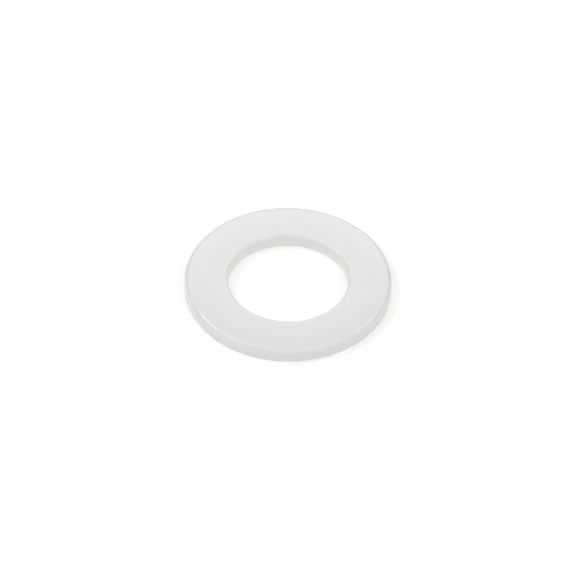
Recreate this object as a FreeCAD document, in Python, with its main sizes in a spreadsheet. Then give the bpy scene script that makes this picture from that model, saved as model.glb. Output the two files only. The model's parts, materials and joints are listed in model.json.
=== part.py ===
import FreeCAD, Part
import math
import os

import Sketcher

# A flat washer for an M20 bolt, moulded in one piece in nylon.
# Frame: Z runs up through the bore, and the origin is the centre of the face it rests on.

# Driving dimensions in millimetres.
# Diameters and thickness lie inside the limits of the plain M20 series (21 x 37 x 3 nominal).
# The top face is flat round the bore and crowned outside that, so that it falls away gently to the rim.
# The outer edge of the top comes out of the mould cavity rounded, and the outer base edge is crisper.
SIZES = {
    "outer_diameter": 36.7,
    "bore_diameter": 21.2,
    "thickness": 2.8,
    "crown_width": 4.0,
    "crown_radius": 40.0,
    "outer_top_radius": 0.8,
    "bore_top_radius": 0.6,
    "outer_base_radius": 0.3,
    "bore_base_radius": 0.6,
}
MATCH_TOLERANCE = 1e-6

# How a sketch names the points of its lines and arcs, and its own origin and X axis.
START = 1
END = 2
CENTRE = 3
ORIGIN = (-1, 1)
X_AXIS = -1


def make_sheet(doc, sizes):
    """Puts each driving dimension in its own row, with its name as the alias."""
    sheet = doc.addObject("Spreadsheet::Sheet", "Sizes")
    for row, (name, value) in enumerate(sizes.items(), start=1):
        sheet.set(f"A{row}", name)
        sheet.set(f"B{row}", str(value))
        sheet.setAlias(f"B{row}", name)
    doc.recompute()
    return sheet


def origin_plane(body, role):
    """Finds one of the body's own origin planes by its role."""
    return next(item for item in body.Origin.OriginFeatures if item.Role == role)


def crown_drop(sheet):
    """How far the crowned face has fallen at the rim, before the edge there is rounded."""
    return sheet.crown_radius - math.sqrt(sheet.crown_radius**2 - sheet.crown_width**2)


def crown_arc(sheet, flat_end):
    """The crown's arc, from the rim in to the end of the flat, where it is level."""
    centre = FreeCAD.Vector(flat_end, sheet.thickness - sheet.crown_radius)
    circle = Part.Circle(centre, FreeCAD.Vector(0, 0, 1), sheet.crown_radius)
    level = math.pi / 2
    lean = math.asin(sheet.crown_width / sheet.crown_radius)
    return Part.ArcOfCircle(circle, level - lean, level)


def bind(sketch, constraint, expression):
    """Adds a dimension to the sketch and binds it to the sheet."""
    number = sketch.addConstraint(constraint)
    sketch.setExpression(f"Constraints[{number}]", expression)


def draw_section(sketch, sheet):
    """Draws the ring's section with sharp corners: base, rim, crown, flat and bore."""
    bore = sheet.bore_diameter / 2
    outer = sheet.outer_diameter / 2
    flat_end = outer - sheet.crown_width
    top = sheet.thickness
    bore_foot = FreeCAD.Vector(bore, 0)
    rim_foot = FreeCAD.Vector(outer, 0)
    rim_head = FreeCAD.Vector(outer, top - crown_drop(sheet))
    flat_head = FreeCAD.Vector(flat_end, top)
    bore_head = FreeCAD.Vector(bore, top)

    base = sketch.addGeometry(Part.LineSegment(bore_foot, rim_foot), False)
    rim = sketch.addGeometry(Part.LineSegment(rim_foot, rim_head), False)
    crown = sketch.addGeometry(crown_arc(sheet, flat_end), False)
    flat = sketch.addGeometry(Part.LineSegment(flat_head, bore_head), False)
    wall = sketch.addGeometry(Part.LineSegment(bore_head, bore_foot), False)
    outline = [base, rim, crown, flat, wall]
    for line, following in zip(outline, outline[1:] + outline[:1]):
        sketch.addConstraint(Sketcher.Constraint("Coincident", line, END, following, START))

    sketch.addConstraint(Sketcher.Constraint("PointOnObject", base, START, X_AXIS))
    sketch.addConstraint(Sketcher.Constraint("Horizontal", base))
    sketch.addConstraint(Sketcher.Constraint("Vertical", rim))
    sketch.addConstraint(Sketcher.Constraint("Horizontal", flat))
    sketch.addConstraint(Sketcher.Constraint("Vertical", wall))
    sketch.addConstraint(Sketcher.Constraint("Vertical", crown, CENTRE, crown, END))

    bore_place = Sketcher.Constraint("DistanceX", *ORIGIN, base, START, bore)
    rim_place = Sketcher.Constraint("DistanceX", *ORIGIN, base, END, outer)
    height = Sketcher.Constraint("DistanceY", *ORIGIN, wall, START, top)
    crown_span = Sketcher.Constraint("DistanceX", flat, START, rim, END, sheet.crown_width)
    crown_bend = Sketcher.Constraint("Radius", crown, sheet.crown_radius)
    bind(sketch, bore_place, "Sizes.bore_diameter / 2")
    bind(sketch, rim_place, "Sizes.outer_diameter / 2")
    bind(sketch, height, "Sizes.thickness")
    bind(sketch, crown_span, "Sizes.crown_width")
    bind(sketch, crown_bend, "Sizes.crown_radius")


def ring_edge(shape, radius, height):
    """Names the circular edge of the shape that has this radius at this height."""
    for number, edge in enumerate(shape.Edges, start=1):
        curve = edge.Curve
        if not isinstance(curve, Part.Circle):
            continue
        same_radius = math.isclose(curve.Radius, radius, abs_tol=MATCH_TOLERANCE)
        same_height = math.isclose(curve.Center.z, height, abs_tol=MATCH_TOLERANCE)
        if same_radius and same_height:
            return f"Edge{number}"
    raise RuntimeError(f"no edge of radius {radius} at height {height}")


def round_edge(body, base, name, radius, height, expression):
    """Rounds one circular edge of the base feature with a bound radius."""
    fillet = body.newObject("PartDesign::Fillet", name)
    fillet.Base = (base, [ring_edge(base.Shape, radius, height)])
    fillet.setExpression("Radius", expression)
    body.Document.recompute()
    return fillet


def build_washer(doc, sheet):
    """The ring: its section turned about Z, then its four edges rounded one by one."""
    body = doc.addObject("PartDesign::Body", "Washer")
    body.Label = "flat_washer"
    body.Placement = FreeCAD.Placement()

    section = body.newObject("Sketcher::SketchObject", "RingSection")
    section.AttachmentSupport = [(origin_plane(body, "XZ_Plane"), "")]
    section.MapMode = "FlatFace"
    draw_section(section, sheet)

    ring = body.newObject("PartDesign::Revolution", "Ring")
    ring.Profile = section
    ring.ReferenceAxis = (section, ["V_Axis"])
    ring.Angle = 360
    doc.recompute()

    outer = sheet.outer_diameter / 2
    bore = sheet.bore_diameter / 2
    top = sheet.thickness
    rim_top = top - crown_drop(sheet)
    feature = round_edge(body, ring, "OuterTopEdge", outer, rim_top, "Sizes.outer_top_radius")
    feature = round_edge(body, feature, "BoreTopEdge", bore, top, "Sizes.bore_top_radius")
    feature = round_edge(body, feature, "OuterBaseEdge", outer, 0, "Sizes.outer_base_radius")
    round_edge(body, feature, "BoreBaseEdge", bore, 0, "Sizes.bore_base_radius")
    return body


def check(doc, bodies):
    """Stops on a failed feature, or on a sub-part that isn't one valid solid."""
    for item in doc.Objects:
        if "Invalid" in item.State or "Error" in item.State:
            raise RuntimeError(f"{item.Label} failed: {item.State}")
    for body in bodies:
        if body.Shape.isNull() or not body.Shape.isValid() or len(body.Shape.Solids) != 1:
            raise RuntimeError(f"{body.Label} is not one valid solid")


def export(bodies):
    """Writes each sub-part to parts/ under its label, and prints what it measures."""
    os.makedirs("parts", exist_ok=True)
    for body in bodies:
        body.Shape.exportStep(f"parts/{body.Label}.step")
        box = body.Shape.optimalBoundingBox(False)
        size = f"{box.XLength:.3f} x {box.YLength:.3f} x {box.ZLength:.3f} mm"
        print(f"{body.Label}: {size}, {body.Shape.Volume:.1f} mm3")


doc = FreeCAD.newDocument("FlatWasher")
sheet = make_sheet(doc, SIZES)
bodies = [build_washer(doc, sheet)]
doc.recompute()
check(doc, bodies)
export(bodies)
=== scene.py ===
"""One flat washer in milky natural nylon, lying on a white table among soft boxes.

Metres throughout. Z runs up through the bore, and the washer's base is the plane Z = 0.
"""

import json
import math

import bmesh
import bpy
from mathutils import Matrix, Vector


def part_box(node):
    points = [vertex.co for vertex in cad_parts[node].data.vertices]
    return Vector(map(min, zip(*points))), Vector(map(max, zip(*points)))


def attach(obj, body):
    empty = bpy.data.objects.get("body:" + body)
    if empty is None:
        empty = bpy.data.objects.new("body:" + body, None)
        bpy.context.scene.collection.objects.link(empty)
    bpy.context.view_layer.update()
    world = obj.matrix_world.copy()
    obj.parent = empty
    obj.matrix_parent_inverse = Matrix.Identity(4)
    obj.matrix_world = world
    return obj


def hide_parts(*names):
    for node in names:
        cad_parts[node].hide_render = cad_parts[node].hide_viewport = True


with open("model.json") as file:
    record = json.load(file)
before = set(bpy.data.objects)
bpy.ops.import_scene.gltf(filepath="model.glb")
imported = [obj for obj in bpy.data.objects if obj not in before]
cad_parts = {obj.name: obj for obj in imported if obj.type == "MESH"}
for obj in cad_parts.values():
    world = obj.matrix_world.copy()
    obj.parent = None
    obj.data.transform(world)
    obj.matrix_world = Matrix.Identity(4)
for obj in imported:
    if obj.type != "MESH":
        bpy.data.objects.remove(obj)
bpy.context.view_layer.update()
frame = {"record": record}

MM = 0.001

# ---- the washer's sizes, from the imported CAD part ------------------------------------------

NODE = "flat_washer"
SLOT = "natural_nylon"
node_low, node_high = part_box(NODE)
mounts = {mount["name"]: mount for mount in frame["record"]["mounts"]}
bore_dims = mounts["bore"]["dims"]

OUTER_RADIUS = (node_high.x - node_low.x) / 2
BORE_RADIUS = bore_dims["r_mm"] * MM
BASE = node_low.z
TOP = node_high.z

# The straight part of the bore's wall stops short of both faces by the radius of its edges.
BORE_EDGE = (TOP - BASE - bore_dims["length_mm"] * MM) / 2

# The rest of the section, as in the CAD part.
CROWN_WIDTH = 4.0 * MM
CROWN_RADIUS = 40.0 * MM
OUTER_TOP_EDGE = 0.8 * MM
OUTER_BASE_EDGE = 0.3 * MM

# ---- mesh density --------------------------------------------------------------------------

SEGMENTS = 384
ARC_STEPS = 12
FACE_STEPS = 14
WALL_STEPS = 4

# ---- directions in the section, in degrees from outward through up -------------------------

OUTWARD = 0
UP = 90
INWARD = 180
DOWN = 270
FULL_TURN = 360


def arc(centre, radius, start, end):
    """Points along an arc of the section, as (distance from the axis, height)."""
    points = []
    for step in range(ARC_STEPS + 1):
        angle = math.radians(start + (end - start) * step / ARC_STEPS)
        points.append((centre[0] + radius * math.cos(angle), centre[1] + radius * math.sin(angle)))
    return points


def between(first, last, steps):
    """Points strictly between two section points, evenly spaced."""
    shares = [step / steps for step in range(1, steps)]
    return [tuple(here + (there - here) * share for here, there in zip(first, last)) for share in shares]


def crown_meets_edge():
    """Where the crown touches the rounded top edge: its lean there, and the edge arc's centre."""
    flat_end = OUTER_RADIUS - CROWN_WIDTH
    crown_centre = (flat_end, TOP - CROWN_RADIUS)
    edge_across = OUTER_RADIUS - OUTER_TOP_EDGE
    reach = CROWN_RADIUS - OUTER_TOP_EDGE
    lean = math.asin((edge_across - flat_end) / reach)
    return crown_centre, lean, (edge_across, crown_centre[1] + reach * math.cos(lean))


def washer_section():
    """The closed section of the ring, from the bore's base edge round by the rim and back."""
    crown_centre, lean, edge_centre = crown_meets_edge()
    crown_start = UP - math.degrees(lean)
    bore_across = BORE_RADIUS + BORE_EDGE
    rim_across = OUTER_RADIUS - OUTER_BASE_EDGE
    bore_base = arc((bore_across, BASE + BORE_EDGE), BORE_EDGE, INWARD, DOWN)
    outer_base = arc((rim_across, BASE + OUTER_BASE_EDGE), OUTER_BASE_EDGE, DOWN, FULL_TURN)
    outer_top = arc(edge_centre, OUTER_TOP_EDGE, OUTWARD, crown_start)
    crown = arc(crown_centre, CROWN_RADIUS, crown_start, UP)[1:]
    bore_top = arc((bore_across, TOP - BORE_EDGE), BORE_EDGE, UP, INWARD)
    corners = [bore_base, outer_base, outer_top + crown, bore_top]
    gaps = [FACE_STEPS, WALL_STEPS, FACE_STEPS, WALL_STEPS]
    section = []
    for index, (corner, steps) in enumerate(zip(corners, gaps)):
        following = corners[(index + 1) % len(corners)]
        section += corner
        section += between(corner[-1], following[0], steps)
    return section


def make_washer():
    """The ring as one closed lathed mesh."""
    mesh = bpy.data.meshes.new("nylon_ring")
    build = bmesh.new()
    section = washer_section()
    rings = []
    for segment in range(SEGMENTS):
        angle = 2 * math.pi * segment / SEGMENTS
        ring = [build.verts.new((across * math.cos(angle), across * math.sin(angle), height))
                for across, height in section]
        rings.append(ring)
    for segment, ring in enumerate(rings):
        following = rings[(segment + 1) % SEGMENTS]
        for point in range(len(section)):
            after = (point + 1) % len(section)
            build.faces.new((ring[point], following[point], following[after], ring[after]))
    bmesh.ops.recalc_face_normals(build, faces=build.faces)
    for face in build.faces:
        face.smooth = True
    build.to_mesh(mesh)
    build.free()
    washer = bpy.data.objects.new("nylon_ring", mesh)
    bpy.context.scene.collection.objects.link(washer)
    return washer


# ---- material ------------------------------------------------------------------------------

# Faint clouding in the colour, as the nylon crystallises unevenly.
CLOUDS_PER_METRE = 260.0
CLOUD_DARK = (0.808, 0.829, 0.819, 1)
CLOUD_LIGHT = (0.822, 0.841, 0.831, 1)
CLOUD_DARK_UP_TO = 0.3
CLOUD_LIGHT_FROM = 0.7

# The moulded skin: finer patches are a little more or less polished.
PATCHES_PER_METRE = 900.0
LEAST_ROUGH = 0.20
MOST_ROUGH = 0.26

# Fine grain of the mould's surface.
GRAINS_PER_METRE = 5200.0
GRAIN_DEPTH = 0.01 * MM
GRAIN_STRENGTH = 0.25

# Light goes into nylon and comes out a little way off, red furthest and blue least.
NYLON_IOR = 1.53
SCATTER_LENGTH = 0.9 * MM
SCATTER_BY_COLOUR = (1.0, 0.92, 0.8)


def node_of(tree, kind, **values):
    """A shader node with the named inputs set."""
    made = tree.nodes.new(kind)
    for name, value in values.items():
        made.inputs[name.replace("_", " ")].default_value = value
    return made


def noise_of(tree, place, **values):
    """A noise pattern that stays fixed to the object."""
    noise = node_of(tree, "ShaderNodeTexNoise", **values)
    tree.links.new(place.outputs["Object"], noise.inputs["Vector"])
    return noise


def make_nylon():
    """Natural nylon: milky and slightly translucent, with a satin moulded skin."""
    material = bpy.data.materials.new(SLOT)
    material.use_nodes = True
    tree = material.node_tree
    shader = tree.nodes["Principled BSDF"]
    place = tree.nodes.new("ShaderNodeTexCoord")

    clouds = noise_of(tree, place, Scale=CLOUDS_PER_METRE, Detail=4.0, Roughness=0.55)
    tint = tree.nodes.new("ShaderNodeValToRGB")
    dark, light = tint.color_ramp.elements
    dark.position = CLOUD_DARK_UP_TO
    dark.color = CLOUD_DARK
    light.position = CLOUD_LIGHT_FROM
    light.color = CLOUD_LIGHT
    tree.links.new(clouds.outputs["Fac"], tint.inputs["Fac"])
    tree.links.new(tint.outputs["Color"], shader.inputs["Base Color"])

    patches = noise_of(tree, place, Scale=PATCHES_PER_METRE, Detail=3.0, Roughness=0.6)
    polish = node_of(tree, "ShaderNodeMapRange", To_Min=LEAST_ROUGH, To_Max=MOST_ROUGH)
    tree.links.new(patches.outputs["Fac"], polish.inputs["Value"])
    tree.links.new(polish.outputs["Result"], shader.inputs["Roughness"])

    grain = noise_of(tree, place, Scale=GRAINS_PER_METRE, Detail=2.0, Roughness=0.5)
    relief = node_of(tree, "ShaderNodeBump", Strength=GRAIN_STRENGTH, Distance=GRAIN_DEPTH)
    tree.links.new(grain.outputs["Fac"], relief.inputs["Height"])
    tree.links.new(relief.outputs["Normal"], shader.inputs["Normal"])

    shader.inputs["IOR"].default_value = NYLON_IOR
    shader.inputs["Subsurface Weight"].default_value = 1.0
    shader.inputs["Subsurface Radius"].default_value = SCATTER_BY_COLOUR
    shader.inputs["Subsurface Scale"].default_value = SCATTER_LENGTH
    return material


# ---- table, light and camera ---------------------------------------------------------------

# The table reaches this far from the axis each way, and lies just under the washer's base, so that
# the two faces don't coincide.
TABLE_REACH = 1.5
TABLE_DROP = 0.01 * MM
TABLE_WHITE = 0.83
TABLE_GLOW = 0.30
TABLE_GLOW_COLOUR = (1.0, 0.95, 0.90, 1)

# The surround's brightness overhead, and the heights it rises between. A height is the Z of a
# direction: 0 is level and 1 is straight up.
TENT_LEVEL = 0.80
TENT_DARK_UP_TO = 0.5
TENT_FULL_FROM = 1.0

BOX_DISTANCE = 0.6

# A long lens, so far off that it foreshortens the washer very little. The angles are in degrees.
# The picture's width is measured at the washer, and its middle is a little below the washer's.
VIEW_ELEVATION = 44.5
VIEW_ROLL = 0.97
VIEW_DISTANCE = 100 * OUTER_RADIUS
PICTURE_WIDTH = 5.557 * OUTER_RADIUS
PICTURE_DROP = 0.044 * OUTER_RADIUS
SENSOR_WIDTH = 36.0


def make_table():
    """A wide plain white table that glows a little, slightly warm."""
    mesh = bpy.data.meshes.new("table")
    build = bmesh.new()
    bmesh.ops.create_grid(build, x_segments=1, y_segments=1, size=TABLE_REACH)
    build.to_mesh(mesh)
    build.free()
    table = bpy.data.objects.new("table", mesh)
    table.location.z = BASE - TABLE_DROP
    bpy.context.scene.collection.objects.link(table)
    paint = bpy.data.materials.new("table_white")
    paint.use_nodes = True
    shader = paint.node_tree.nodes["Principled BSDF"]
    shader.inputs["Base Color"].default_value = (TABLE_WHITE, TABLE_WHITE, TABLE_WHITE, 1)
    shader.inputs["Roughness"].default_value = 1.0
    shader.inputs["Specular IOR Level"].default_value = 0.0
    shader.inputs["Emission Color"].default_value = TABLE_GLOW_COLOUR
    shader.inputs["Emission Strength"].default_value = TABLE_GLOW
    mesh.materials.append(paint)


def make_softbox(name, bearing, elevation, size, radiance):
    """A rectangle of soft light, aimed at the washer, with a bearing in degrees from +X towards +Y."""
    lamp = bpy.data.lights.new(name, "AREA")
    lamp.shape = "RECTANGLE"
    lamp.size, lamp.size_y = size
    # The power in watts that gives the lamp's face this radiance.
    lamp.energy = radiance * lamp.size * lamp.size_y * math.pi
    box = bpy.data.objects.new(name, lamp)
    turn = math.radians(bearing)
    rise = math.radians(elevation)
    away = Vector((math.cos(turn) * math.cos(rise), math.sin(turn) * math.cos(rise), math.sin(rise)))
    box.location = away * BOX_DISTANCE
    box.rotation_euler = away.to_track_quat("Z", "Y").to_euler()
    bpy.context.scene.collection.objects.link(box)


def make_tent():
    """The dim white surround: dark low down, and brighter from there to overhead."""
    world = bpy.data.worlds.new("tent")
    bpy.context.scene.world = world
    world.use_nodes = True
    tree = world.node_tree
    background = tree.nodes["Background"]
    place = tree.nodes.new("ShaderNodeTexCoord")
    split = tree.nodes.new("ShaderNodeSeparateXYZ")
    tree.links.new(place.outputs["Generated"], split.inputs["Vector"])
    fade = node_of(tree, "ShaderNodeMapRange", From_Min=TENT_DARK_UP_TO, From_Max=TENT_FULL_FROM,
                   To_Max=TENT_LEVEL)
    tree.links.new(split.outputs["Z"], fade.inputs["Value"])
    tree.links.new(fade.outputs["Result"], background.inputs["Strength"])
    background.inputs["Color"].default_value = (1, 1, 1, 1)


def make_camera():
    """The camera above the front of the washer, turned by a degree about its own axis."""
    lens = bpy.data.cameras.new("camera")
    lens.sensor_width = SENSOR_WIDTH
    lens.lens = SENSOR_WIDTH * VIEW_DISTANCE / PICTURE_WIDTH
    camera = bpy.data.objects.new("camera", lens)
    bpy.context.scene.collection.objects.link(camera)
    elevation = math.radians(VIEW_ELEVATION)
    back = Vector((0, -math.cos(elevation), math.sin(elevation)))
    up = Vector((0, math.sin(elevation), math.cos(elevation)))
    right = Vector((1, 0, 0))
    target = Vector((0, 0, (BASE + TOP) / 2)) - up * PICTURE_DROP
    turn = Matrix.Rotation(math.radians(VIEW_ROLL), 4, back)
    axes = Matrix((right, up, back)).transposed().to_4x4()
    camera.matrix_world = Matrix.Translation(target + back * VIEW_DISTANCE) @ turn @ axes
    bpy.context.scene.camera = camera


washer = make_washer()
washer.data.materials.append(make_nylon())
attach(washer, "root")
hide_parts(NODE)

make_table()
make_tent()
make_softbox("softbox_left", bearing=196, elevation=45, size=(0.45, 0.30), radiance=2.3)
make_softbox("softbox_right", bearing=-17, elevation=35, size=(0.26, 0.15), radiance=3.1)
make_softbox("softbox_right_front", bearing=-55, elevation=41, size=(0.26, 0.15), radiance=3.4)
make_softbox("softbox_front", bearing=-90, elevation=22, size=(0.30, 0.15), radiance=2.3)
make_softbox("softbox_back", bearing=90, elevation=37, size=(0.25, 0.16), radiance=2.7)
make_softbox("softbox_back_left", bearing=150, elevation=52, size=(0.19, 0.16), radiance=4.6)
make_softbox("softbox_back_right", bearing=30, elevation=52, size=(0.19, 0.16), radiance=4.2)
make_camera()
bpy.context.scene.view_settings.view_transform = "Standard"
